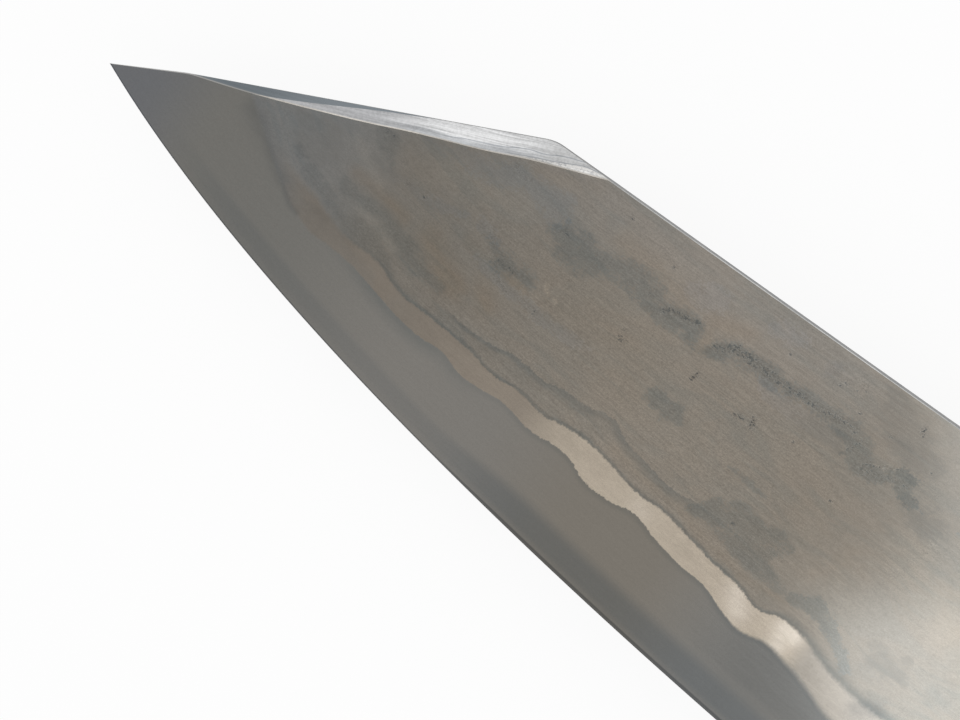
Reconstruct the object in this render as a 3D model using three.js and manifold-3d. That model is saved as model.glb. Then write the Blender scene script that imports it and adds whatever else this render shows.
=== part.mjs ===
// A bunka, a kitchen knife with a three-layer forged blade in an octagonal wooden handle.
// All sizes are in millimetres. The knife lies on its right face: +X runs from the tip to the butt,
// +Y from the edge to the spine and +Z out of the left face.
// While the pieces are made, x is measured from the tip, y from the line of the spine and z from the
// middle plane of the blade. The group at the end puts the origin under the middle of the whole knife,
// on the surface that the handle lies on.

import * as THREE from 'three';
import { mergeVertices } from 'three/addons/utils/BufferGeometryUtils.js';
import Module from 'manifold-3d';

const wasm = await Module();
wasm.setup();

// Blade outline, seen square to the face
const BLADE_LENGTH = 180;    // tip to heel, along the spine
const HEEL_HEIGHT = 50;      // edge to spine at the heel
const RIDGE_CORNER = 47.7;   // where the clipped back meets the spine, from the tip
const CLIP_ANGLE = 24.9;     // fall of the clipped back towards the tip, degrees
const TIP_BEND = 0.6;        // how far the last stretch of the back drops to the tip
const SWEDGE_START = 8;      // where the swedge bevels begin, from the tip
const SWEDGE_RUNOUT = 7.3;   // how far the swedge bevels run past the ridge corner
const TIP_SLOPE = 24.6;      // slope of the edge at the tip, degrees
const TIP_PULL = 44;         // how long the edge holds the slope of the tip
const HEEL_SLOPE = 1.9;      // slope of the edge at the heel, degrees
const HEEL_PULL = 59;        // how long the edge holds the slope of the heel

// Blade section
const SPINE_AT_HEEL = 3.6;    // thickness of the spine at the heel
const SPINE_AT_TIP = 1.8;     // thickness the spine would thin to above the tip
const RIDGE_FLAT = 1.2;       // width of the flat along the clipped back, at the ridge corner
const SPINE_CHAMFER = 0.3;    // eased corners of the spine
const FACE_CROWN = 0.12;      // how far each face bulges between edge and spine
const BEVEL_THICKNESS = 0.2;  // thickness behind the edge
const BEVEL_HEIGHT = 0.8;     // height of the cutting bevel

// Where the cladding ends on the face: distance from the tip, height above the edge
const CLADDING_LINE = [
  [14, 13.2], [30, 7.6], [50, 9.6], [68, 11], [82, 11.6], [97, 10.2], [112, 8.6], [132, 10.4], [156, 9.2], [180, 10],
];
const WELD_GAP = 0.02;  // between the core and each cladding

// Heel, neck and tang
const HEEL_LEAN = 2;          // how far the back of the heel leans towards the handle
const NECK_FILLET = 5;        // radius under the neck, behind the heel
const NECK_LENGTH = 14;       // bare neck between heel and handle
const NECK_HEIGHT = 12;
const NECK_DROP = 1.2;        // how far the neck falls below the spine at the handle
const NECK_THICKNESS = 3.2;
const TANG_LENGTH = 84;       // length of the tang inside the handle
const TANG_END_HEIGHT = 6;
const TANG_END_THICKNESS = 2.4;

// Handle
const HANDLE_LENGTH = 136;    // ferrule and body together
const HANDLE_WIDTH = 20;      // across the two side facets, which are parallel
const FRONT_HEIGHT = 22;      // at the ferrule's front
const BUTT_HEIGHT = 25;
const CORNER_CUT = 5.8;       // how much each long corner is cut to make the octagon
const END_CHAMFER = 1;        // eased rims of the ferrule's front and the butt
const FERRULE_LENGTH = 30;
const FERRULE_WEB = 8;        // solid front of the ferrule that the mouth goes through
const DOWEL_DIAMETER = 14;
const DOWEL_IN_BODY = 76;     // how deep the dowel goes into the handle body
const SEAL_WALL = 1.3;        // wax on each side of the tang at the mouth
const SEAL_DEPTH = 3;
const SEAL_BEAD = 0.8;        // how far the wax stands out of the mouth
const RESIN_WALL = 0.6;       // resin on each side of the tang
const RESIN_END = 2;          // resin past the end of the tang
const FIT = 0.3;              // clearance between pieces that fit into each other

// How finely the round and the long shapes are divided
const BLADE_STEPS = 36;
const FILLET_STEPS = 6;
const DOWEL_SIDES = 24;

// Places that follow from the sizes
const tipDrop = RIDGE_CORNER * Math.tan(THREE.MathUtils.degToRad(CLIP_ANGLE)) + TIP_BEND;
const swedgeEnd = RIDGE_CORNER + SWEDGE_RUNOUT;
const handleStart = BLADE_LENGTH + NECK_LENGTH;
const bodyStart = handleStart + FERRULE_LENGTH;
const handleEnd = handleStart + HANDLE_LENGTH;
const tangEnd = handleStart + TANG_LENGTH;
const axisY = -NECK_DROP - NECK_HEIGHT / 2;
const neckBottom = -NECK_DROP - NECK_HEIGHT;
const boreRadius = DOWEL_DIAMETER / 2 + FIT;
const resinGrow = FIT + RESIN_WALL;
const kerfHalf = NECK_THICKNESS / 2 + resinGrow + FIT;
const mouthGrow = FIT + SEAL_WALL;

const lerp = THREE.MathUtils.lerp;
const clamp = THREE.MathUtils.clamp;

// Goes smoothly through a list of [place, value] points and stays level outside it.
function alongPoints(points, place) {
  const last = points.length - 1;
  if (place <= points[0][0]) return points[0][1];
  if (place >= points[last][0]) return points[last][1];
  const next = points.findIndex((point) => point[0] > place);
  const [startPlace, startValue] = points[next - 1];
  const [endPlace, endValue] = points[next];
  return lerp(startValue, endValue, THREE.MathUtils.smoothstep(place, startPlace, endPlace));
}

// A point at some distance from a start, at a slope below the line of the spine.
function pulledPoint(start, slopeDegrees, distance) {
  const slope = THREE.MathUtils.degToRad(slopeDegrees);
  return new THREE.Vector2(start.x + distance * Math.cos(slope), start.y - distance * Math.sin(slope));
}

// The cutting edge is one curve from the tip to the heel.
const tipPoint = new THREE.Vector2(0, -tipDrop);
const heelPoint = new THREE.Vector2(BLADE_LENGTH, -HEEL_HEIGHT);
const edgeCurve = new THREE.CubicBezierCurve(
  tipPoint,
  pulledPoint(tipPoint, TIP_SLOPE, TIP_PULL),
  pulledPoint(heelPoint, HEEL_SLOPE, -HEEL_PULL),
  heelPoint,
);

// Halves the range until the test changes from true to false within a hundredth of a micron.
function findChange(low, high, isBefore) {
  while (high - low > 1e-5) {
    const middle = (low + high) / 2;
    if (isBefore(middle)) low = middle;
    else high = middle;
  }
  return (low + high) / 2;
}

function edgeY(x) {
  if (x >= BLADE_LENGTH) return -HEEL_HEIGHT;
  if (x <= 0) return -tipDrop;
  return edgeCurve.getPoint(findChange(0, 1, (t) => edgeCurve.getPoint(t).x < x)).y;
}

// The top of the blade: the last stretch to the tip, the clipped back, the spine, the neck and the tang.
function topY(x) {
  const clipSlope = Math.tan(THREE.MathUtils.degToRad(CLIP_ANGLE));
  const swedgeStartY = (SWEDGE_START - RIDGE_CORNER) * clipSlope;
  if (x < SWEDGE_START) return lerp(-tipDrop, swedgeStartY, x / SWEDGE_START);
  if (x < RIDGE_CORNER) return (x - RIDGE_CORNER) * clipSlope;
  if (x <= BLADE_LENGTH) return 0;
  if (x <= handleStart) return (-NECK_DROP * (x - BLADE_LENGTH)) / NECK_LENGTH;
  return axisY + tangHeight(x) / 2;
}

// The bottom: the edge, the back of the heel, the fillet, the neck and the tang.
function bottomY(x) {
  const filletStart = BLADE_LENGTH + HEEL_LEAN;
  const filletY = neckBottom - NECK_FILLET;
  const filletCentre = filletStart + NECK_FILLET;
  if (x <= BLADE_LENGTH) return edgeY(x);
  if (x <= filletStart) return lerp(-HEEL_HEIGHT, filletY, (x - BLADE_LENGTH) / HEEL_LEAN);
  if (x <= filletCentre) return filletY + Math.sqrt(NECK_FILLET ** 2 - (filletCentre - x) ** 2);
  return axisY - tangHeight(x) / 2;
}

function tangHeight(x) {
  return lerp(NECK_HEIGHT, TANG_END_HEIGHT, clamp((x - handleStart) / TANG_LENGTH, 0, 1));
}

// Half the thickness at the spine, thinning towards the tip and towards the end of the tang.
function spineHalf(x) {
  if (x <= BLADE_LENGTH) return lerp(SPINE_AT_TIP, SPINE_AT_HEEL, x / BLADE_LENGTH) / 2;
  if (x <= handleStart) return lerp(SPINE_AT_HEEL, NECK_THICKNESS, (x - BLADE_LENGTH) / NECK_LENGTH) / 2;
  return lerp(NECK_THICKNESS, TANG_END_THICKNESS, (x - handleStart) / TANG_LENGTH) / 2;
}

// Half the thickness anywhere on the face: a wedge from the edge to the spine, parallel on the tang.
function faceHalf(x, y) {
  const rise = clamp(1 - y / edgeY(x), 0, 1);
  const behindEdge = BEVEL_THICKNESS / 2;
  const wedge = lerp(behindEdge, spineHalf(x), rise) + FACE_CROWN * 4 * rise * (1 - rise);
  return lerp(wedge, spineHalf(x), clamp((x - BLADE_LENGTH) / NECK_LENGTH, 0, 1));
}

// Half the width of the flat along the top.
function flatHalf(x) {
  const spineFlat = spineHalf(x) - SPINE_CHAMFER;
  if (x <= RIDGE_CORNER) return lerp(0, RIDGE_FLAT / 2, x / RIDGE_CORNER);
  return lerp(RIDGE_FLAT / 2, spineFlat, clamp((x - RIDGE_CORNER) / SWEDGE_RUNOUT, 0, 1));
}

// How far the bevel beside that flat reaches down the face: the swedge, then the chamfer of the spine.
function bevelDrop(x) {
  const start = topY(SWEDGE_START);
  const swedgeLine = start * (1 - (x - SWEDGE_START) / (swedgeEnd - SWEDGE_START));
  return Math.max(SPINE_CHAMFER, x < swedgeEnd ? topY(x) - swedgeLine : 0);
}

// One cross-section of the blade, as the heights and half thicknesses that its layers share.
function section(x) {
  const bottom = bottomY(x);
  const top = topY(x);
  const shoulder = Math.max(top - bevelDrop(x), (top + bottom) / 2);
  const shoulderHalf = faceHalf(x, shoulder);
  const flat = Math.min(flatHalf(x), shoulderHalf);
  const line = clamp(edgeY(x) + alongPoints(CLADDING_LINE, x), bottom, shoulder);
  const heelLine = edgeY(BLADE_LENGTH) + alongPoints(CLADDING_LINE, BLADE_LENGTH);
  const core = x < BLADE_LENGTH ? faceHalf(x, line) : faceHalf(BLADE_LENGTH, heelLine);
  const swedgeShare = shoulderHalf > flat ? clamp((core - flat) / (shoulderHalf - flat), 0, 1) : 0;
  const layerTop = lerp(top, shoulder, swedgeShare);
  return { bottom, top, shoulder, shoulderHalf, flat, line, core, layerTop };
}

// The core's ring at x: up its left side and down its right side.
function coreRing(x) {
  const { bottom, top, flat, line, core, layerTop } = section(x);
  const coreSide = core - WELD_GAP;
  const bevel = bottom + Math.min(BEVEL_HEIGHT, (layerTop - bottom) / 4);
  const sideStart = Math.max(line, bevel);
  const heights = [bevel, (bevel + sideStart) / 2, sideStart, layerTop];
  const bottomHalf = x > BLADE_LENGTH ? Math.min(faceHalf(x, bottom), coreSide) : 0;
  const side = [
    [bottom, bottomHalf],
    ...heights.map((y) => [y, Math.min(faceHalf(x, y), coreSide)]),
    [top, Math.min(flat, coreSide)],
  ];
  const otherSide = side.map(([y, z]) => [y, -z]).reverse();
  return [...side, ...otherSide].map(([y, z]) => new THREE.Vector3(x, y, z));
}

// The left cladding's ring at x: from the core out along the face and back over the top.
function claddingRing(x) {
  const { top, shoulder, shoulderHalf, flat, line, core, layerTop } = section(x);
  const lowerFace = lerp(line, shoulder, 1 / 3);
  const upperFace = lerp(line, shoulder, 2 / 3);
  const outline = [
    [line, core],
    [line, Math.max(faceHalf(x, line), core)],
    [lowerFace, faceHalf(x, lowerFace)],
    [upperFace, faceHalf(x, upperFace)],
    [shoulder, shoulderHalf],
    [core > flat ? layerTop : top, Math.max(core, flat)],
    [layerTop, core],
  ];
  return outline.map(([y, z]) => new THREE.Vector3(x, y, z));
}

// An octagonal ring of the handle at x, drawn in by an inset where a rim is eased.
function octagonRing(x, inset) {
  const height = lerp(FRONT_HEIGHT, BUTT_HEIGHT, (x - handleStart) / HANDLE_LENGTH);
  const halfHeight = height / 2 - inset;
  const halfWidth = HANDLE_WIDTH / 2 - inset;
  const sideReach = height / 2 - CORNER_CUT;
  const topReach = HANDLE_WIDTH / 2 - CORNER_CUT;
  const half = [[-halfHeight, topReach], [-sideReach, halfWidth], [sideReach, halfWidth], [halfHeight, topReach]];
  const otherHalf = half.map(([y, z]) => [y, -z]).reverse();
  return [...half, ...otherHalf].map(([y, z]) => new THREE.Vector3(x, axisY + y, z));
}

// A closed skin through rings of equal count, from the tip's end to the butt's end, with both ends capped.
// Triangles that close to a line, as at a point or a feather edge, are left out.
function loft(rings) {
  const corners = [];
  const closed = (a, b) => a.distanceToSquared(b) < 1e-8;
  const add = (a, b, c) => {
    if (closed(a, b) || closed(b, c) || closed(c, a)) return;
    corners.push(a, b, c);
  };
  const count = rings[0].length;
  for (let i = 0; i + 1 < rings.length; i += 1) {
    for (let j = 0; j < count; j += 1) {
      const next = (j + 1) % count;
      add(rings[i][j], rings[i + 1][j], rings[i + 1][next]);
      add(rings[i][j], rings[i + 1][next], rings[i][next]);
    }
  }
  const cap = (ring, facesForward) => {
    const centre = ring.reduce((sum, point) => sum.add(point), new THREE.Vector3()).divideScalar(count);
    ring.forEach((point, j) => {
      const next = ring[(j + 1) % count];
      if (facesForward) add(centre, point, next);
      else add(centre, next, point);
    });
  };
  cap(rings[0], true);
  cap(rings[rings.length - 1], false);
  return mergeVertices(new THREE.BufferGeometry().setFromPoints(corners));
}

function box(startX, endX, halfHeight, halfWidth) {
  const geometry = new THREE.BoxGeometry(endX - startX, 2 * halfHeight, 2 * halfWidth);
  return geometry.translate((startX + endX) / 2, axisY, 0);
}

function rod(startX, endX, radius) {
  const geometry = new THREE.CylinderGeometry(radius, radius, endX - startX, DOWEL_SIDES);
  return geometry.rotateZ(Math.PI / 2).translate((startX + endX) / 2, axisY, 0);
}

function toSolid(geometry) {
  const bare = geometry.clone();
  bare.deleteAttribute('normal');
  bare.deleteAttribute('uv');
  const merged = mergeVertices(bare);
  const vertProperties = new Float32Array(merged.attributes.position.array);
  const triVerts = new Uint32Array(merged.index.array);
  return new wasm.Manifold(new wasm.Mesh({ numProp: 3, vertProperties, triVerts }));
}

// Cuts tools out of a body.
function cut(body, ...tools) {
  const solid = tools.reduce((rest, tool) => rest.subtract(toSolid(tool)), toSolid(body));
  const { vertProperties, triVerts } = solid.getMesh();
  const geometry = new THREE.BufferGeometry();
  geometry.setAttribute('position', new THREE.BufferAttribute(vertProperties, 3));
  geometry.setIndex(new THREE.BufferAttribute(triVerts, 1));
  return geometry;
}

// The cross-sections of the blade stand at even steps and at every place where its outline turns.
function bladePlaces(start) {
  const even = Array.from({ length: BLADE_STEPS + 1 }, (_, i) => (BLADE_LENGTH * i) / BLADE_STEPS);
  const heel = [1, 2, 3].map((i) => BLADE_LENGTH + (HEEL_LEAN * i) / 3);
  const fillet = Array.from({ length: FILLET_STEPS }, (_, i) => {
    const turn = ((i + 1) / FILLET_STEPS) * (Math.PI / 2);
    return BLADE_LENGTH + HEEL_LEAN + NECK_FILLET * (1 - Math.cos(turn));
  });
  const turns = [start, SWEDGE_START, RIDGE_CORNER, swedgeEnd, handleStart, tangEnd];
  const sorted = [...even, ...heel, ...fillet, ...turns].filter((x) => x >= start).sort((a, b) => a - b);
  const nearest = 0.3;
  return sorted.filter((x, i) => i === 0 || turns.includes(x) || x - sorted[i - 1] > nearest);
}

// The cladding begins where its line leaves the face over the clipped back.
const claddingStart = findChange(0, RIDGE_CORNER, (x) => {
  const { line, shoulder } = section(x);
  return line >= shoulder;
});

function makeCoreSteel() {
  return loft(bladePlaces(0).map(coreRing));
}

function makeLeftCladding() {
  return loft(bladePlaces(claddingStart).map(claddingRing));
}

function makeRightCladding() {
  const mirrored = (ring) => ring.map((point) => new THREE.Vector3(point.x, point.y, -point.z)).reverse();
  return loft(bladePlaces(claddingStart).map(claddingRing).map(mirrored));
}

function makeFerrule() {
  const shell = loft([
    octagonRing(handleStart, END_CHAMFER),
    octagonRing(handleStart + END_CHAMFER, 0),
    octagonRing(bodyStart, 0),
  ]);
  const webEnd = handleStart + FERRULE_WEB;
  const mouthHeight = NECK_HEIGHT / 2 + mouthGrow + FIT;
  const mouthWidth = NECK_THICKNESS / 2 + mouthGrow + FIT;
  const mouth = box(handleStart - FIT, webEnd + FIT, mouthHeight, mouthWidth);
  return cut(shell, mouth, rod(webEnd, bodyStart + FIT, boreRadius));
}

function makeHandleBody() {
  const shell = loft([
    octagonRing(bodyStart, 0),
    octagonRing(handleEnd - END_CHAMFER, 0),
    octagonRing(handleEnd, END_CHAMFER),
  ]);
  return cut(shell, rod(bodyStart - FIT, bodyStart + DOWEL_IN_BODY + FIT, boreRadius));
}

function makeTangDowel() {
  const dowelStart = handleStart + FERRULE_WEB + FIT;
  const dowel = rod(dowelStart, bodyStart + DOWEL_IN_BODY, DOWEL_DIAMETER / 2);
  return cut(dowel, box(dowelStart - FIT, tangEnd + RESIN_END + FIT, DOWEL_DIAMETER, kerfHalf));
}

// The tang's own outline, grown all round.
function tangBlock(startX, endX, grow) {
  const rings = [startX, endX].map((x) => {
    const halfHeight = tangHeight(x) / 2 + grow;
    const halfWidth = spineHalf(Math.min(x, tangEnd)) + grow;
    const half = [[-halfHeight, halfWidth], [halfHeight, halfWidth]];
    const otherHalf = [[halfHeight, -halfWidth], [-halfHeight, -halfWidth]];
    return [...half, ...otherHalf].map(([y, z]) => new THREE.Vector3(x, axisY + y, z));
  });
  return loft(rings);
}

function makeTangResin() {
  const start = handleStart + SEAL_DEPTH + FIT;
  const bed = tangBlock(start, tangEnd + RESIN_END, resinGrow);
  return cut(bed, tangBlock(start - FIT, tangEnd + FIT, FIT));
}

function makeNeckSeal() {
  const start = handleStart - SEAL_BEAD;
  const end = handleStart + SEAL_DEPTH;
  const plug = box(start, end, NECK_HEIGHT / 2 + mouthGrow, NECK_THICKNESS / 2 + mouthGrow);
  return cut(plug, box(start - FIT, end + FIT, NECK_HEIGHT / 2 + FIT, NECK_THICKNESS / 2 + FIT));
}

function addPiece(group, name, geometry, finish) {
  geometry.computeVertexNormals();
  const mesh = new THREE.Mesh(geometry, new THREE.MeshStandardMaterial(finish));
  mesh.name = name;
  group.add(mesh);
}

const hardSteel = { color: 0x74767a, roughness: 0.3, metalness: 1 };
const softIron = { color: 0x8f8880, roughness: 0.42, metalness: 1 };
const horn = { color: 0x1d1a18, roughness: 0.35, metalness: 0 };
const magnolia = { color: 0xc9ad7f, roughness: 0.6, metalness: 0 };
const dowelWood = { color: 0xb89a6a, roughness: 0.7, metalness: 0 };
const resin = { color: 0x9c7a3c, roughness: 0.4, metalness: 0 };
const wax = { color: 0x8a6d43, roughness: 0.5, metalness: 0 };

const knife = new THREE.Group();
addPiece(knife, 'core_steel', makeCoreSteel(), hardSteel);
addPiece(knife, 'left_cladding', makeLeftCladding(), softIron);
addPiece(knife, 'right_cladding', makeRightCladding(), softIron);
addPiece(knife, 'neck_seal', makeNeckSeal(), wax);
addPiece(knife, 'ferrule', makeFerrule(), horn);
addPiece(knife, 'handle_body', makeHandleBody(), magnolia);
addPiece(knife, 'tang_dowel', makeTangDowel(), dowelWood);
addPiece(knife, 'tang_resin', makeTangResin(), resin);

const highest = Math.max(0, axisY + BUTT_HEIGHT / 2);
const lowest = Math.min(-HEEL_HEIGHT, axisY - BUTT_HEIGHT / 2);
knife.position.set(-handleEnd / 2, -(highest + lowest) / 2, HANDLE_WIDTH / 2);

export default knife;
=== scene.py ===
# Looks of a bunka, a kitchen knife with a three-layer forged blade in an octagonal wooden handle.
# The blade is laid out in millimetres, with x from the tip, y from the line of the spine and z from the
# middle plane of the blade, and is put into the frame, in metres, when its meshes are made.

import math
from functools import cached_property

import bmesh
import bpy
import numpy as np
from mathutils import Matrix, Vector


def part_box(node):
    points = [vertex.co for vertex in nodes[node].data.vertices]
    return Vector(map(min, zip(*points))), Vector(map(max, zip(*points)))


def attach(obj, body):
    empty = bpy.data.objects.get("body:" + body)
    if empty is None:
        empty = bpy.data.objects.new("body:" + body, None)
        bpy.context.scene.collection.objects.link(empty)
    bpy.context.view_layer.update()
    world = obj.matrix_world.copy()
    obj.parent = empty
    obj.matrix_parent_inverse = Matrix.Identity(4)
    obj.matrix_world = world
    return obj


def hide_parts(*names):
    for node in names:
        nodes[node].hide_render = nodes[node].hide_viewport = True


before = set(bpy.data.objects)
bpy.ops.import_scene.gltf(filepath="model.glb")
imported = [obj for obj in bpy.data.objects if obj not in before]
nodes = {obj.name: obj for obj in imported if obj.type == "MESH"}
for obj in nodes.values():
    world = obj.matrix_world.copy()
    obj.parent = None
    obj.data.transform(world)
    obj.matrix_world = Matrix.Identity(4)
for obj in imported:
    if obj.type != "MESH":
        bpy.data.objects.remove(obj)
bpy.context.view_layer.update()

MM = 0.001

# Blade outline and section: the solids' sizes, with the finer chamfers and bevel that show up close
BLADE_LENGTH = 180
HEEL_HEIGHT = 50
RIDGE_CORNER = 47.7
CLIP_ANGLE = 24.9
TIP_BEND = 0.6
SWEDGE_START = 8
SWEDGE_END = 55.6
TIP_SLOPE = 24.6
TIP_PULL = 44
HEEL_SLOPE = 1.9
HEEL_PULL = 59
SPINE_AT_TIP = 1.8
SPINE_AT_HEEL = 3.6
RIDGE_FLAT = 1.28
RIDGE_SWELL = 1.25
RIDGE_ROUND = 0.5
SPINE_CHAMFER = 0.1
TIP_CHAMFER = 0.05
FACE_CROWN = 0.12
BEVEL_THICKNESS = 0.2
BEVEL_HEIGHT = 0.25
WELD_GAP = 0.02
HEEL_LEAN = 2
NECK_FILLET = 5
NECK_LENGTH = 14
NECK_HEIGHT = 12
NECK_DROP = 1.2
NECK_THICKNESS = 3.2
TANG_LENGTH = 84
TANG_END_HEIGHT = 6
TANG_END_THICKNESS = 2.4

# Handle, as in the solids
HANDLE_WIDTH = 20
FRONT_HEIGHT = 22
BUTT_HEIGHT = 25
HANDLE_LENGTH = 136
FERRULE_LENGTH = 30
FERRULE_WEB = 8
CORNER_CUT = 5.8
RIM_EASE = 1
CORNER_EASE = 0.4
JOINT_EASE = 0.08
BORE_DIAMETER = 14.6
BORE_IN_BODY = 76.3
SEAL_WALL = 1.3
SEAL_DEPTH = 3
SEAL_BEAD = 0.8
SEAL_ROUNDING = 0.6
FIT = 0.3
BORE_SIDES = 48
OVERSHOOT = 1
EASE_SEGMENTS = 3
ROUNDING_SEGMENTS = 4

# Lines on the blade's faces: distance from the tip, height above the edge
CLADDING_LINE = [
    (12, 14.5), (17, 12.3), (21, 10.5), (25, 8.7), (27.5, 8), (30, 7.7), (33, 8.3), (36, 8.8),
    (40, 8.8), (45, 8.7), (48, 9), (51, 9.7), (54, 9.3), (57, 9.8), (60, 10.6), (64, 10.5),
    (70.5, 11.4), (73, 10.7), (77, 11), (80, 11.9), (84, 11.4), (88, 11.1), (92, 11.2), (95.5, 10.3),
    (98, 10), (101.5, 11), (105, 10.8), (109, 10), (112, 9.2), (117, 9.4), (124, 10.6), (130, 9.8),
    (138, 11), (146, 9.6), (155, 10.4), (163, 9), (171, 10.2), (180, 9.6),
]
BAND_TOP = [
    (12, 17), (20, 12.4), (25, 11.1), (30, 11), (33.5, 10.5), (37.5, 11.3), (40, 11.4), (42, 10.9),
    (45, 11.1), (48, 11.6), (53, 12.1), (58, 12.2), (62, 13), (64, 12.8), (67, 13.6), (70, 14.3),
    (73.5, 14.4), (78, 14), (84, 14.5), (90, 14), (95, 13.9), (98, 13.3), (102, 14.6), (105, 14.4),
    (109, 13.4), (116, 13), (124, 14.2), (132, 13.2), (140, 14.6), (150, 13), (160, 13.4), (170, 13.8),
    (180, 13),
]
HALO_TOP = [
    (12, 20), (30, 15), (48, 13.5), (53, 14.1), (55.5, 14.6), (57.5, 15.5), (62, 15.9), (66, 17.1),
    (68, 17.2), (70.5, 18.2), (72, 18.4), (74, 17.7), (79, 17.3), (82, 17.1), (85, 18), (90, 18),
    (110, 16), (180, 15.4),
]

# How far the swedge's border lies below a straight line: distance from the tip, sag
SWEDGE_SAG = [
    (8, 0), (14, 0.38), (24, 0.5), (29, 0.42), (33, 0.22), (43, 0.1), (46, -0.1), (50, -0.09),
    (55.6, 0),
]

# Wavy lines along the swedge: distance from the tip, height over its border
UPPER_CREASE = [(36, 0.45), (38.8, 0.8), (43, 0.94), (45.8, 1.23), (47.6, 1.08), (49.2, 1.38), (52, 1.4)]
LOWER_CREASE = [(43, 0.25), (46.7, 0.4), (49.6, 0.6), (52.3, 0.86), (53.8, 0.6)]

# Forging stains on the iron, and among the faint ones a few patches of painted shade: softness of the
# border, outline
DARK_STAINS = [
    (0.9, [(23.5, -17.8), (26, -18.6), (29, -19.8), (32, -20.9), (33.6, -20.9), (36, -20.3), (38.6, -21.4),
           (41, -23.4), (42.5, -24.4), (40.5, -23.9), (38.3, -22.9), (34.4, -23.2), (32, -22.1),
           (28.5, -20.9), (25, -19.6)]),
    (0.9, [(30, -17.5), (33, -17.8), (35.5, -18.2), (38, -18.5), (40.5, -19), (42.3, -19.9), (44, -21),
           (46.8, -21.6), (46.5, -22.1), (43, -21.7), (40, -20.8), (38, -20), (36, -19.2), (33.5, -19.3),
           (30.5, -18.8)]),
    (0.8, [(30.2, -10.4), (32, -9.8), (33, -10.6), (34.1, -13.5), (31.8, -12.3)]),
    (1.3, [(48.2, -13.8), (54, -14.3), (55.2, -14.9), (54.2, -15.6), (50.5, -15.7)]),
    (1.2, [(54.2, -7), (57.5, -7.1), (58.6, -7.3), (60, -7.2), (61.5, -6.5), (63, -6.3), (67.5, -6.8),
           (68.3, -7.4), (73.2, -7.3), (74.2, -10.2), (72, -9.5), (70.5, -9.9), (67, -9.6), (64, -8.8),
           (62, -9), (61, -9.9), (58, -10.9), (54.5, -10.2), (53.3, -8.5)]),
    (0.8, [(75.4, -10), (76.2, -8.2), (78.2, -6.9), (83, -6.6), (85, -7), (88.5, -6.6), (95, -6.3),
           (97.9, -7.3), (98, -8.9), (99.7, -9.1), (102, -7.7), (104.5, -7.6), (104, -9.2), (106.8, -10.4),
           (105.5, -10.9), (102, -9.7), (99.5, -11.2), (97, -11.1), (95.3, -9.9), (95.2, -8.9), (92, -8),
           (88, -8), (84, -8.7), (80.5, -8.5), (77.8, -9.2)]),
    (0.7, [(72.6, -18.3), (73.6, -16.5), (75, -16.3), (76.4, -16.8), (77.6, -16.5), (78.6, -18.2),
           (76.1, -19.1), (75.5, -18.4)]),
    (0.7, [(84.8, -26), (86, -25), (86.5, -23.5), (89, -22), (90.5, -21.7), (93.5, -22.5),
           (95.3, -21.7), (97.4, -22.4), (98, -23.2), (96.2, -24.6), (96.2, -25.8), (98.5, -26.9),
           (101, -27), (101, -28), (95, -27.7), (89, -26.3)]),
    (0.6, [(97, -27.2), (99.4, -27.2), (101.4, -26.7), (103.2, -25.5), (104.9, -26.2), (106.7, -26.9),
           (107.7, -27.8), (109.4, -28.8), (111.5, -30.8), (111, -31.4), (109, -30.1), (106, -28.3),
           (104.2, -27.9), (101, -28), (97, -27.8)]),
    (0.6, [(86, -19.1), (91.5, -19.3), (91, -19.7)]),
    (0.9, [(112, -10), (118, -7.6), (126, -8), (137, -6.6), (137.5, -8.6), (126, -11), (118, -10.6)]),
    (0.9, [(140, -14), (148, -12.8), (157, -14.8), (156, -16.6), (148, -15.4), (141, -16)]),
    (0.7, [(127, -26.5), (130, -24), (135, -23.6), (139, -25.4), (141, -27.6), (134, -27.4)]),
    (0.7, [(150, -32), (154, -29.4), (160, -29.8), (165, -31.6), (158, -33)]),
]
FAINT_STAINS_AND_SHADE = [
    (1.2, [(21.5, -14.6), (27, -12.6), (26.4, -14), (27.6, -15.5), (28, -17), (25.2, -18.6), (23.4, -17)]),
    (0.8, [(31.5, -13.7), (36.5, -13.5), (39, -13.8), (44.5, -12.6), (42.5, -13.9), (39.5, -14.4),
           (33.5, -14.4)]),
    (1.1, [(35.2, -8.2), (41, -6.5), (43.5, -6.1), (46.2, -4.5), (53.2, -4.5), (54, -6.4), (53.4, -8),
           (50, -6.8), (47, -6.7), (44, -7.9), (41.5, -8.4), (37.5, -8.3)]),
    (0.8, [(45.8, -12.3), (47.5, -12.2), (49.6, -13.7), (46.4, -13.2)]),
    (0.7, [(47.5, -16), (52.5, -16.6), (59, -17.2), (65, -17.3), (62.8, -18.5), (54, -17.9), (49, -16.9)]),
    (1.0, [(69.5, -4.2), (71.5, -3.2), (74.6, -3), (75, -4.4), (72.6, -5.8), (70.4, -5.2)]),
    (1.2, [(79.5, -2.4), (82, -1.8), (84.5, -2), (84, -3.2), (81, -3.9)]),
    (0.9, [(82.5, -8.7), (94.4, -8.6), (95.4, -10.2), (89, -10.4), (84, -9.8)]),
    (0.8, [(88.2, -2.6), (89.3, -2.1), (90, -2.8), (88.4, -3.6)]),
    # The last three darken the iron near the heel: painted shade
    (1.6, [(104.5, -10.3), (108, -9.5), (110.5, -11), (109, -12.5), (105.5, -12)]),
    (1.4, [(112, -26.5), (116, -26), (117, -28.5), (112.5, -29)]),
    (1.6, [(95.5, -0.8), (98.5, -1.4), (102, -2.5), (106, -5), (104, -7.5), (97, -5.5)]),
]

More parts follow.
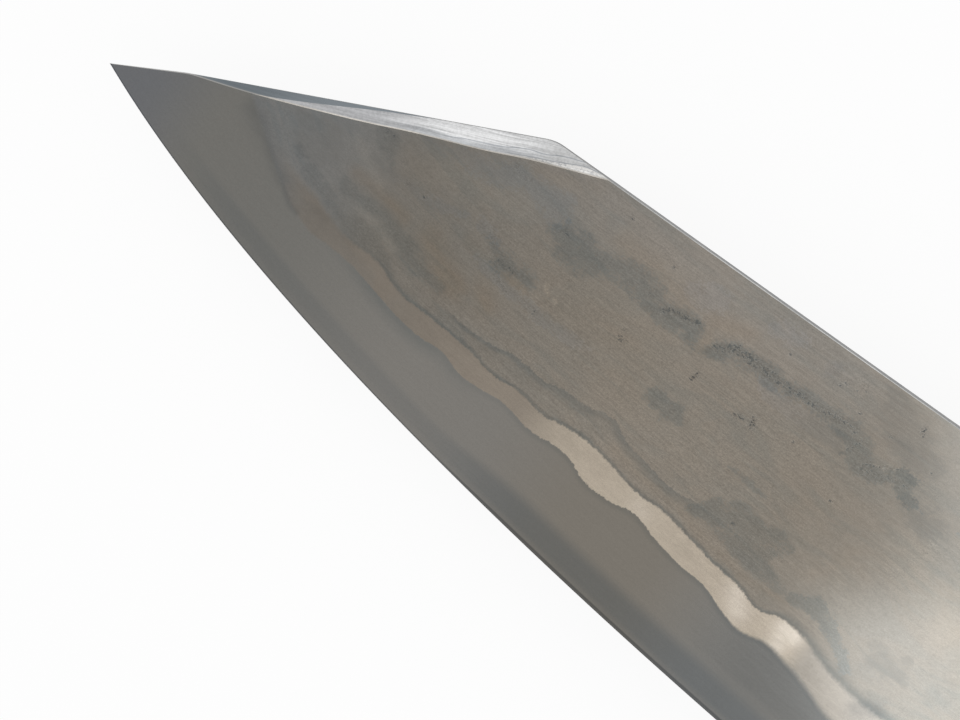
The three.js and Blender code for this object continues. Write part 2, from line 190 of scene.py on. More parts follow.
# Other marks: half width, strength, then the points that the mark follows.
# Brown tints on the iron
TINTS = [
    (0.9, 1.0, [(31, -16.3), (33.5, -16.7), (36.5, -17), (38.5, -17.5)]),
    (1.9, 1.3, [(42.5, -17.8), (44.5, -19), (47.5, -20.4)]),
    (0.8, 0.6, [(46, -15.4), (48.2, -16)]),
    (1.4, 0.8, [(50, -18.4), (52, -20.4)]),
    (0.7, 0.7, [(52, -16.2), (54.5, -16.2)]),
    (1.9, 0.4, [(34.2, -10.6), (36, -12.4)]),
    (1.6, 0.5, [(61, -4.9), (66, -5.2), (70.5, -6.6)]),
    (1.3, 0.5, [(74.6, -6.4), (78.5, -5.2)]),
    (0.9, 0.7, [(74.8, -7.6), (75.2, -9.5)]),
    (1.2, 0.4, [(48.1, -3.9), (50.7, -3.2), (54.5, -1.9)]),
    (0.7, 0.3, [(74, -25.3), (84, -26.9), (90, -28), (96, -28.8), (101, -28.6)]),
    (4.0, 0.4, [(58.5, -14.6), (69.8, -16.5)]),
    (5.0, 0.4, [(95.9, -19.3), (104.4, -21.1)]),
    (6.0, 0.5, [(122, -17), (150, -22)]),
]

# Paler streaks and scratches on the iron, and one broad painted sheen near the heel
PALES = [
    (0.7, 0.35, [(29, -13), (31, -14.5), (34, -15.8)]),
    (0.8, 0.4, [(33.8, -19.7), (36, -19.9), (39, -21)]),
    (2.2, 0.35, [(39.5, -9.6), (44, -9.6), (48.5, -8.4)]),
    # Painted sheen near the heel, not a streak
    (3.5, 0.4, [(108.5, -15.2), (117, -19)]),
    (0.18, 1.0, [(56.5, -14.2), (56.8, -14.7), (57.3, -15)]),
    (0.22, 1.0, [(58.1, -15), (58.5, -15.2)]),
]

# Rough patches in the iron
PITS = [
    (0.45, 0.8, [(69.2, -8.5), (70.4, -8), (72, -7.8), (73.3, -7.5)]),
    (0.8, 0.75, [(76.5, -8.6), (77.4, -7.9), (78.8, -7.3)]),
    (0.8, 0.8, [(78.8, -7.4), (81, -7.5)]),
    (0.8, 0.6, [(81, -7.5), (85, -7.6), (88, -7.6)]),
    (0.7, 0.55, [(88, -7.6), (92, -7.2), (95, -7.2)]),
    (0.5, 0.6, [(96.6, -7.6), (96.2, -8.6), (95.8, -9.4)]),
    (0.35, 0.7, [(98.2, -9.9), (100.3, -8.7), (102, -7.7)]),
    (0.7, 0.45, [(98.3, -10.6), (101, -9.6), (103.5, -9)]),
    (0.5, 0.5, [(54.2, -7.4), (55, -7.9)]),
    (0.5, 0.65, [(45.6, -4.8), (46.6, -5.3), (47.8, -5.4)]),
    (0.4, 0.65, [(31, -10.1), (32, -10.4)]),
    (0.35, 0.75, [(36.3, -13.8), (36.9, -13.9)]),
    (0.3, 0.75, [(38.8, -14.1), (39.3, -14)]),
    (0.5, 0.55, [(46.8, -12.6), (48.9, -13.3)]),
    (0.5, 0.5, [(49, -15.2), (51.5, -15), (53, -15.4)]),
    (0.3, 0.75, [(51, -16.6), (53, -17.6)]),
    (0.4, 1.05, [(82.4, -13.8), (83.8, -13.6)]),
    (0.5, 1.15, [(84.9, -12.9), (85.2, -13.9)]),
    (0.35, 1.2, [(76.6, -12.4), (76.3, -13.4)]),
    (0.35, 1.15, [(66.8, -14.1), (67.1, -14.4)]),
    (0.4, 1.1, [(101.2, -2.3), (101.6, -3.1)]),
    (0.5, 0.45, [(66.2, -7.9), (67.2, -8.1)]),
    (0.6, 0.5, [(65.2, -2.8), (67.3, -3.9)]),
    (0.7, 0.5, [(71.7, -13.2), (73.3, -13.4)]),
    (0.6, 0.45, [(88.6, -3), (89.6, -2.6)]),
    (0.6, 0.45, [(91.8, -1.7), (93, -1.9)]),
    (0.7, 0.4, [(84.6, -1.2), (85.2, -1.7)]),
    (0.5, 0.5, [(110.1, -12.9), (111.2, -12.9)]),
    (0.8, 0.5, [(118, -9.2), (124, -9.3)]),
    (0.7, 0.5, [(143, -14.5), (147, -14)]),
]

# Single pits, drawn as very short strokes
SPOT_SIZE = 0.26
SPOT_STRENGTH = 1.05
SPOT_REACH = 0.1
SPOTS = [
    (57.2, -17.4), (57.2, -17.8), (60.1, -2.1), (66.8, -13.1), (67.8, -14), (67.2, -3.9), (84.6, -14.3),
    (83.8, -4.3), (90.6, -3.9), (91, -3.3), (92.6, -3.2), (93.2, -2.7), (90.2, -12.4), (91.5, -13.4),
    (90.2, -24.4), (94.3, -5.2), (97.7, -15.5), (98.7, -5.3), (105, -6.1), (110, -14), (133, -20),
    (158, -27),
]

# Painted highlights on the bright band
GLINTS = [
    (1.2, 0.35, [(80, -29.2), (81, -29.6)]),
    (1.5, 0.85, [(95.4, -30.8), (96.6, -32.5)]),
    (1.3, 1.1, [(102.4, -31), (103.8, -31.2)]),
    (1.3, 0.9, [(102.4, -31), (102.8, -33.2)]),
    (4.0, 0.7, [(122, -33), (129, -33.4)]),
    (4.0, 0.7, [(148, -37), (156, -36.6)]),
]

# Dark streaks across the layers: close under the line near the tip, and on the band
SHADES = [
    (1.2, 0.85, [(16.8, -17.2), (18, -17.8), (19.2, -18.5)]),
    (0.75, 0.85, [(19.2, -18.5), (20.3, -19.4), (21.5, -20.3), (24.3, -22.2)]),
    (0.35, 0.9, [(24.3, -22.2), (25.6, -23.3), (26.6, -24), (27.8, -24.3)]),
    (1.3, 1.2, [(114.8, -33.9), (116.5, -33)]),
]

# How finely the blade is divided
FINE_STEP = 0.3
COARSE_STEP = 1.0
FINE_UNTIL = 124
IRON_ROWS = 112
CORE_ROWS = 26
SWEDGE_ROWS = 8
HEEL_STEPS = 14
FILLET_STEPS = 12
EDGE_POINTS = 2001
CROSSING_POINTS = 4001

# Angles past which a corner is shaded as sharp, in degrees
BLADE_CREASE = 7
HANDLE_CREASE = 24
SEAL_CREASE = 35

# What counts as one point, and as no length, in metres
SAME_POINT = 1e-6
NO_LENGTH = 1e-7

# Keep a division from running into zero
LEAST_WIDTH = 1e-6
LEAST_RISE = 1e-9

# Places that follow from the sizes
tip_drop = RIDGE_CORNER * math.tan(math.radians(CLIP_ANGLE)) + TIP_BEND
handle_start = BLADE_LENGTH + NECK_LENGTH
body_start = handle_start + FERRULE_LENGTH
handle_end = handle_start + HANDLE_LENGTH
tang_end = handle_start + TANG_LENGTH
axis_y = -NECK_DROP - NECK_HEIGHT / 2

# Where the blade's own zero lies in the frame
core_low, core_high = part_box("core_steel")
zero = Vector((core_low.x, core_high.y, (core_low.z + core_high.z) / 2))


# Blade shape

def lerp(start, end, share):
    return start + (end - start) * share


def share_of(value, start, end):
    return np.clip((value - start) / (end - start), 0, 1)


def through_points(points, place):
    """A smooth curve through (place, value) points, level outside them."""
    places, values = np.array(points, float).T
    slopes = np.gradient(values, places)
    place = np.clip(place, places[0], places[-1])
    before = np.clip(np.searchsorted(places, place) - 1, 0, len(places) - 2)
    after = before + 1
    length = places[after] - places[before]
    t = (place - places[before]) / length
    ease = t * t * (3 - 2 * t)
    bend = t * (1 - t) * ((1 - t) * slopes[before] - t * slopes[after]) * length
    return lerp(values[before], values[after], ease) + bend


def falling(slope):
    """A step of 1 along a line that falls by so many degrees."""
    return np.array([math.cos(math.radians(slope)), -math.sin(math.radians(slope))])


def edge_curve():
    """Points along the cutting edge, one cubic curve from the tip to the heel."""
    tip = np.array([0, -tip_drop])
    heel = np.array([BLADE_LENGTH, -HEEL_HEIGHT])
    t = np.linspace(0, 1, EDGE_POINTS)[:, None]
    tip_pulled = tip + TIP_PULL * falling(TIP_SLOPE)
    heel_pulled = heel - HEEL_PULL * falling(HEEL_SLOPE)
    by_tip = 3 * t * (1 - t) ** 2
    by_heel = 3 * t * t * (1 - t)
    return (1 - t) ** 3 * tip + by_tip * tip_pulled + by_heel * heel_pulled + t ** 3 * heel


EDGE = edge_curve()


def edge_y(x):
    return np.interp(x, EDGE[:, 0], EDGE[:, 1])


def tang_height(x):
    return lerp(NECK_HEIGHT, TANG_END_HEIGHT, share_of(x, handle_start, tang_end))


def top_y(x):
    """The last stretch to the tip, the clipped back, the spine, the neck and the tang."""
    slope = math.tan(math.radians(CLIP_ANGLE))
    tip = lerp(-tip_drop, (SWEDGE_START - RIDGE_CORNER) * slope, x / SWEDGE_START)
    clip = (x - RIDGE_CORNER) * slope
    rounding = np.maximum(RIDGE_ROUND - abs(clip), 0) ** 2 / (4 * RIDGE_ROUND)
    neck = -NECK_DROP * share_of(x, BLADE_LENGTH, handle_start)
    tang = axis_y + tang_height(x) / 2
    back = np.where(x < SWEDGE_START, tip, np.minimum(clip, 0) - rounding)
    return np.where(x < BLADE_LENGTH, back, np.where(x <= handle_start, neck, tang))


def bottom_y(x):
    """The edge, the back of the heel, the fillet, the neck and the tang."""
    heel_back = BLADE_LENGTH + HEEL_LEAN
    centre = heel_back + NECK_FILLET
    fillet_y = -NECK_DROP - NECK_HEIGHT - NECK_FILLET
    heel = lerp(-HEEL_HEIGHT, fillet_y, share_of(x, BLADE_LENGTH, heel_back))
    fillet = fillet_y + np.sqrt(np.maximum(NECK_FILLET ** 2 - (centre - x) ** 2, 0))
    tang = axis_y - tang_height(x) / 2
    behind = np.where(x <= heel_back, heel, np.where(x <= centre, fillet, tang))
    return np.where(x <= BLADE_LENGTH, edge_y(x), behind)


def spine_half(x):
    """Half the thickness at the spine, and of the neck and the tang."""
    places = [0, BLADE_LENGTH, handle_start, tang_end]
    return np.interp(x, places, [SPINE_AT_TIP, SPINE_AT_HEEL, NECK_THICKNESS, TANG_END_THICKNESS]) / 2


def face_half(x, y):
    """Half the thickness anywhere on the face: a crowned wedge, parallel on the tang."""
    rise = np.clip(1 - y / edge_y(x), 0, 1)
    wedge = lerp(BEVEL_THICKNESS / 2, spine_half(x), rise) + FACE_CROWN * 4 * rise * (1 - rise)
    return lerp(wedge, spine_half(x), share_of(x, BLADE_LENGTH, handle_start))


def flat_half(x):
    """Half the width of the flat along the top."""
    ridge = RIDGE_FLAT / 2
    clip = ridge * np.clip(x / RIDGE_CORNER, 0, 1) ** RIDGE_SWELL
    spine = lerp(ridge, spine_half(x) - SPINE_CHAMFER, share_of(x, RIDGE_CORNER, SWEDGE_END))
    return np.where(x < RIDGE_CORNER, clip, spine)


def bevel_drop(x):
    """How far the swedge, or the chamfer of the spine, reaches down the face."""
    start = float(top_y(np.float64(SWEDGE_START)))
    along = (x - SWEDGE_START) / (SWEDGE_END - SWEDGE_START)
    swedge_line = start * (1 - along) - through_points(SWEDGE_SAG, x)
    swedge = np.where((x > SWEDGE_START) & (x < SWEDGE_END), top_y(x) - swedge_line, 0)
    return np.maximum(lerp(TIP_CHAMFER, SPINE_CHAMFER, share_of(x, 0, SWEDGE_START)), swedge)


class Section:
    """The blade's cross-sections at many x: the heights and half thicknesses that its layers share."""

    def __init__(self, x):
        self.x = x
        self.bottom = bottom_y(x)
        self.top = top_y(x)
        self.shoulder = np.maximum(self.top - bevel_drop(x), (self.top + self.bottom) / 2)
        self.shoulder_half = face_half(x, self.shoulder)
        self.flat = np.minimum(flat_half(x), self.shoulder_half)
        self.line = np.clip(edge_y(x) + through_points(CLADDING_LINE, x), self.bottom, self.shoulder)
        heel = np.float64(BLADE_LENGTH)
        heel_line = edge_y(heel) + through_points(CLADDING_LINE, heel)
        self.core = np.where(x < BLADE_LENGTH, face_half(x, self.line), face_half(heel, heel_line))
        swedge = np.maximum(self.shoulder_half - self.flat, LEAST_WIDTH)
        self.layer_top = lerp(self.top, self.shoulder, np.clip((self.core - self.flat) / swedge, 0, 1))


def blade_places(start):
    """Where the cross-sections stand: even steps, and every place where the outline turns."""
    turns = [start, SWEDGE_START, RIDGE_CORNER, SWEDGE_END, BLADE_LENGTH, handle_start, tang_end]
    fine = np.arange(0, FINE_UNTIL, FINE_STEP)
    coarse = np.arange(FINE_UNTIL, BLADE_LENGTH, COARSE_STEP)
    heel = BLADE_LENGTH + HEEL_LEAN * np.linspace(0, 1, HEEL_STEPS)
    angle = np.linspace(0, math.pi / 2, FILLET_STEPS)
    fillet = BLADE_LENGTH + HEEL_LEAN + NECK_FILLET * (1 - np.cos(angle))
    places = np.unique(np.concatenate([fine, coarse, heel, fillet, turns]))
    places = places[places >= start]
    least_step = FINE_STEP / 5
    kept = [x for i, x in enumerate(places) if x in turns or i == 0 or x - places[i - 1] > least_step]
    return np.array(kept)


def cladding_start():
    """Where the cladding's line leaves the face over the clipped back."""
    x = np.linspace(SWEDGE_START, RIDGE_CORNER, CROSSING_POINTS)
    below = edge_y(x) + through_points(CLADDING_LINE, x) < top_y(x) - bevel_drop(x)
    return float(x[np.argmax(below)])


def distance_to(x, y, start, end):
    """How far each point lies from a straight stretch."""
    run, rise = end[0] - start[0], end[1] - start[1]
    along = np.clip(((x - start[0]) * run + (y - start[1]) * rise) / (run ** 2 + rise ** 2), 0, 1)
    return np.hypot(x - start[0] - along * run, y - start[1] - along * rise)


def stroke_strength(x, y, strokes):
    """How strongly each point lies in a set of soft strokes."""
    strength = np.zeros_like(x)
    for half_width, weight, points in strokes:
        nearest = np.min([distance_to(x, y, *ends) for ends in zip(points, points[1:])], axis=0)
        strength = np.maximum(strength, weight * np.exp(-(nearest / half_width) ** 2))
    return strength


def depth_inside(x, y, outline):
    """How deep each point lies inside an outline, negative outside it."""
    sides = list(zip(outline, outline[1:] + outline[:1]))
    nearest = np.min([distance_to(x, y, *ends) for ends in sides], axis=0)
    inside = np.zeros(x.shape, bool)
    for (start_x, start_y), (end_x, end_y) in sides:
        slope = (end_x - start_x) / (end_y - start_y or LEAST_RISE)
        inside ^= ((start_y > y) != (end_y > y)) & (x < start_x + (y - start_y) * slope)
    return np.where(inside, nearest, -nearest)


def share_inside(x, y, shapes):
    """How far each point lies inside a set of outlines with soft borders, from 0 to 1."""
    inside = np.zeros_like(x)
    for softness, outline in shapes:
        inside = np.maximum(inside, share_of(depth_inside(x, y, outline), -softness, softness / 2))
    return inside


# The right face has the same marks, moved along
RIGHT_FACE_SHIFT = 23

# Streaks run with the band, and level out towards the spine
BLADE_DEPTH = 38
FLOW_LIFT = 25
FLOW_LEVEL = 65


def single_pits():
    """The spots as very short strokes."""
    return [(SPOT_SIZE, SPOT_STRENGTH, [(x - SPOT_REACH, y), (x + SPOT_REACH, y)]) for x, y in SPOTS]


def face_marks(x, y, z):
    """What the blade's finish is worked out from, at each point of its faces."""
    line = edge_y(x) + through_points(CLADDING_LINE, x)
    border = y - (top_y(x) - bevel_drop(x))
    lifted = FLOW_LIFT * (1 - share_of(x, 0, FLOW_LEVEL)) ** 2
    mark_x = np.where(z >= 0, x, x + RIGHT_FACE_SHIFT)
    return {
        "over_edge": y - edge_y(x),
        "over_line": y - line,
        "over_band": y - edge_y(x) - through_points(BAND_TOP, x),
        "over_halo": y - edge_y(x) - through_points(HALO_TOP, x),
        "flow": BLADE_DEPTH * (lifted - y) / (lifted - np.minimum(line, -1)),
        "grain": BLADE_DEPTH * y / edge_y(x),
        "dark_stain": share_inside(mark_x, y, DARK_STAINS),
        "faint_stain_and_shade": share_inside(mark_x, y, FAINT_STAINS_AND_SHADE),
        "tint": stroke_strength(mark_x, y, TINTS),
        "pale": stroke_strength(mark_x, y, PALES),
        "pits": stroke_strength(mark_x, y, PITS + single_pits()),
        "glint": stroke_strength(mark_x, y, GLINTS),
        "shade": stroke_strength(mark_x, y, SHADES),
        "border": border,
        "facet": border / bevel_drop(x),
        "upper_crease": border - through_points(UPPER_CREASE, x),
        "lower_crease": border - through_points(LOWER_CREASE, x),
    }


# Meshes

FACE, SWEDGE, SPINE = 0, 1, 2


def add_object(name, data):
    """A new object in the scene."""
    thing = bpy.data.objects.new(name, data)
    bpy.context.scene.collection.objects.link(thing)
    return thing


def shade(mesh, crease):
    """Smooth shading that breaks at corners sharper than the crease."""
    mesh.shade_smooth()
    mesh.set_sharp_from_angle(angle=math.radians(crease))


def loft(name, rings, roles, materials):
    """A closed skin through rings of equal count, with both ends capped, in the frame's metres.
    Each stretch of the ring has a role, which picks its material."""
    columns, count, _ = rings.shape
    points = rings.reshape(-1, 3)
    marks = face_marks(*points.T)
    vertices = points * MM + np.array(zero)
    faces = []
    face_roles = []
    for i in range(columns - 1):
        for j in range(count):
            following = (j + 1) % count
            here, ahead = i * count, (i + 1) * count
            faces.append((here + j, ahead + j, ahead + following, here + following))
            face_roles.append(roles[j])
    faces.append(tuple(range(count)))
    faces.append(tuple(range((columns - 1) * count, columns * count)))
    face_roles += [SPINE, SPINE]
    mesh = bpy.data.meshes.new(name)
    mesh.from_pydata(vertices.tolist(), [], faces)
    mesh.polygons.foreach_set("material_index", face_roles)
    for mark, values in marks.items():
        layer = mesh.attributes.new(mark, "FLOAT", "POINT")
        layer.data.foreach_set("value", values.astype(np.float32))
    close_mesh(mesh)
    shade(mesh, BLADE_CREASE)
    keep_joint_crisp(mesh)
    for material in materials:
        mesh.materials.append(material)
    return add_object(name, mesh)


def keep_joint_crisp(mesh):
    """Marks the edges between the faces and what lies hidden or on the spine as sharp,
    so that the shading of a face stays even up to the joint of the layers."""
    meeting = {}
    for polygon in mesh.polygons:
        for key in polygon.edge_keys:
            meeting.setdefault(key, set()).add(polygon.material_index)
    for edge in mesh.edges:
        if meeting[edge.key] == {FACE, SPINE}:
            edge.use_edge_sharp = True


def close_mesh(mesh):
    """Merges what meets, drops what closes to a line and turns the faces outwards."""
    solid = bmesh.new()
    solid.from_mesh(mesh)
    bmesh.ops.remove_doubles(solid, verts=solid.verts, dist=SAME_POINT)
    bmesh.ops.dissolve_degenerate(solid, edges=solid.edges, dist=NO_LENGTH)
    bmesh.ops.recalc_face_normals(solid, faces=solid.faces)
    solid.to_mesh(mesh)
    solid.free()


def ring_points(x, heights, halves):
    """Stacks one side's points into rings: x by row by (x, y, z)."""
    columns = [np.stack([x, y, z], axis=-1) for y, z in zip(heights, halves)]
    return np.stack(columns, axis=1)


def make_core_layer(materials):
    """The hard core: rows of points up its left side from edge to top, then mirrored."""
    section = Section(blade_places(0))
    x = section.x
    core_side = section.core - WELD_GAP
    bevel = section.bottom + np.minimum(BEVEL_HEIGHT, (section.layer_top - section.bottom) / 4)
    side_start = np.maximum(section.line, bevel)
    bottom_half = np.where(x > BLADE_LENGTH, np.minimum(face_half(x, section.bottom), core_side), 0)
    heights = [section.bottom]
    halves = [bottom_half]
    roles = [FACE]
    for share in np.linspace(0, 1, CORE_ROWS):
        y = lerp(bevel, side_start, share)
        heights.append(y)
        halves.append(np.minimum(face_half(x, y), section.core))
        roles.append(FACE)
    # Above the line, the core's side is hidden in the iron
    roles[-1] = SPINE
    flat = np.minimum(section.flat, section.core)
    for share in np.linspace(0, 1, SWEDGE_ROWS):
        heights.append(lerp(section.layer_top, section.top, share))
        halves.append(np.minimum(lerp(section.core, flat, share), section.core))
        roles.append(SWEDGE)
    roles[-1] = SPINE
    left = ring_points(x, heights, halves)
    right = left[:, ::-1] * np.array([1, 1, -1])
    rings = np.concatenate([left, right], axis=1)
    return loft("core_layer", rings, roles + roles[-2::-1] + [SPINE], materials)


def make_iron_layer(name, side, materials):
    """A soft iron layer: rows of points up its outer side, closed along the core. Side is 1 or -1."""
    section = Section(blade_places(cladding_start()))
    x = section.x
    heights = [section.line]
    halves = [section.core]
    roles = [SPINE]
    for share in np.linspace(0, 1, IRON_ROWS):
        y = lerp(section.line, section.shoulder, share)
        heights.append(y)
        halves.append(np.maximum(face_half(x, y), section.core))
        roles.append(FACE)
    outer_top = np.where(section.core > section.flat, section.layer_top, section.top)
    outer_half = np.maximum(section.core, section.flat)
    for share in np.linspace(0, 1, SWEDGE_ROWS)[1:]:
        heights.append(lerp(section.shoulder, outer_top, share))
        halves.append(lerp(section.shoulder_half, outer_half, share))
        roles.append(SWEDGE)
    roles[-SWEDGE_ROWS] = SWEDGE
    roles[-1] = SPINE
    heights.append(section.layer_top)
    halves.append(section.core)
    roles.append(SPINE)
    rings = ring_points(x, heights, halves) * np.array([1, 1, side])
    return loft(name, rings, roles, materials)


# Finishes

class Value:
    """A node's socket in a sum: each operation adds a Math node."""

    def __init__(self, tree, socket):
        self.tree = tree
        self.socket = socket

    def maths(self, operation, first, second):
        return add_node(self.tree, "ShaderNodeMath", {"operation": operation}, {0: first, 1: second})

    def __add__(self, other):
        return self.maths("ADD", self, other)

    def __radd__(self, other):
        return self.maths("ADD", other, self)

    def __sub__(self, other):
        return self.maths("SUBTRACT", self, other)

    def __rsub__(self, other):
        return self.maths("SUBTRACT", other, self)

    def __mul__(self, other):
        return self.maths("MULTIPLY", self, other)

    def __rmul__(self, other):
        return self.maths("MULTIPLY", other, self)

    def __truediv__(self, other):
        return self.maths("DIVIDE", self, other)

    def __abs__(self):
        return self.maths("ABSOLUTE", self, 0)

    def at_least(self, other):
        return self.maths("MAXIMUM", self, other)

    def rises(self, low, high):
        """0 below low, 1 above high, and an eased climb between."""
        sockets = {"Value": self, "From Min": low, "From Max": high}
        return add_node(self.tree, "ShaderNodeMapRange", {"interpolation_type": "SMOOTHSTEP"}, sockets)


def add_node(tree, kind, settings, inputs, output=0):
    """A node of a type, its settings, then the values or links of its sockets."""
    node = tree.nodes.new(kind)
    for name, value in settings.items():
        setattr(node, name, value)
    for name, value in inputs.items():
        if isinstance(value, Value):
            tree.links.new(value.socket, node.inputs[name])
        else:
            node.inputs[name].default_value = value
    return Value(tree, node.outputs[output]) if node.outputs else None


class Finish:
    """A material in the making."""

    def __init__(self, name):
        self.material = bpy.data.materials.new(name)
        self.material.use_nodes = True
        self.tree = self.material.node_tree
        self.tree.nodes.clear()

    def node(self, kind, settings=None, inputs=None, output=0):
        return add_node(self.tree, kind, settings or {}, inputs or {}, output)

    @cached_property
    def place(self):
        """Where each point lies, in millimetres."""
        return self.scaled(self.node("ShaderNodeTexCoord", output=3), 1 / MM)

    def part(self, axis):
        """The x, y or z of each point, in millimetres."""
        return self.node("ShaderNodeSeparateXYZ", inputs={0: self.place}, output=axis)

    def mark(self, name):
        return self.node("ShaderNodeAttribute", {"attribute_name": name}, output=2)

    def point(self, x, y, z=0.0):
        return self.node("ShaderNodeCombineXYZ", inputs={0: x, 1: y, 2: z})

    def stretched(self, place, scale, turn=(0, 0, 0)):
        return self.node("ShaderNodeMapping", inputs={"Vector": place, "Scale": scale, "Rotation": turn})

    def noise(self, place, scale=1.0, detail=3.0, roughness=0.5, distortion=0.0):
        sockets = {"Vector": place, "Scale": scale, "Detail": detail, "Roughness": roughness}
        return self.node("ShaderNodeTexNoise", inputs={**sockets, "Distortion": distortion})

    def cloud(self, scale, detail, roughness, distortion=0.0, turn=(0, 0, 0)):
        """Noise over the piece, with its own scale each way."""
        return self.noise(self.stretched(self.place, scale, turn), 1.0, detail, roughness, distortion)

    def mix(self, factor, first, second, blend="MIX"):
        settings = {"data_type": "RGBA", "blend_type": blend}
        colours = [value if isinstance(value, Value) else (*value, 1) for value in (first, second)]
        return self.node("ShaderNodeMix", settings, {0: factor, 6: colours[0], 7: colours[1]}, output=2)

    def tinted(self, factor, colour, tint):
        """The colour times a tint, where the factor is 1."""
        return self.mix(factor, colour, tint, "MULTIPLY")

    def scaled(self, vector, factor):
        """A place or a colour times a number."""
        return self.node("ShaderNodeVectorMath", {"operation": "SCALE"}, {0: vector, "Scale": factor})

    def done(self, colour, roughness, relief, metallic=0.0):
        """Ends the material in one surface. Its relief is a height, with its strength and its depth."""
        height, strength, depth = relief
        bump = {"Height": height, "Strength": strength, "Distance": depth * MM}
        shader = self.node("ShaderNodeBsdfPrincipled", inputs={
            "Base Color": colour,
            "Metallic": metallic,
            "Roughness": roughness,
            "Normal": self.node("ShaderNodeBump", inputs=bump),
        })
        self.node("ShaderNodeOutputMaterial", inputs={"Surface": shader})
        return self.material


# How metallic the blade is
METAL = 1.0

# Tones along the blade: the first one, then where each change begins and ends and what it leads to
IRON_TONES = ((0.199, 0.197, 0.19), (24, 40, (0.206, 0.188, 0.163)), (36, 78, (0.28, 0.246, 0.205)))
BAND_TONES = (
    (0.188, 0.168, 0.145),
    (20, 44, (0.232, 0.202, 0.169)),
    (44, 60, (0.29, 0.25, 0.207)),
    (61.5, 70, (0.47, 0.408, 0.33)),
    (67, 78, (0.5, 0.434, 0.35)),
)
CORE_TONES = (
    (0.166, 0.17, 0.178),
    (4, 15, (0.191, 0.186, 0.172)),
    (24, 50, (0.236, 0.224, 0.205)),
    (58, 76, (0.228, 0.208, 0.179)),
    (84, 98, (0.243, 0.233, 0.215)),
)

# Tints of the stains along the blade, in the same way
FAINT_STAIN_AND_SHADE_TINTS = (
    (0.93, 0.927, 0.92),
    (28, 44, (0.95, 0.985, 1.03)),
    (56, 66, (1.0, 1.02, 1.06)),
    (84, 94, (0.87, 0.885, 0.9)),
)
DARK_STAIN_TINTS = (
    (0.86, 0.88, 0.89),
    (36, 56, (0.77, 0.825, 0.865)),
    (84, 94, (0.795, 0.842, 0.875)),
    (99, 104, (0.76, 0.82, 0.86)),
    (104, 110, (0.86, 0.925, 0.975)),
)


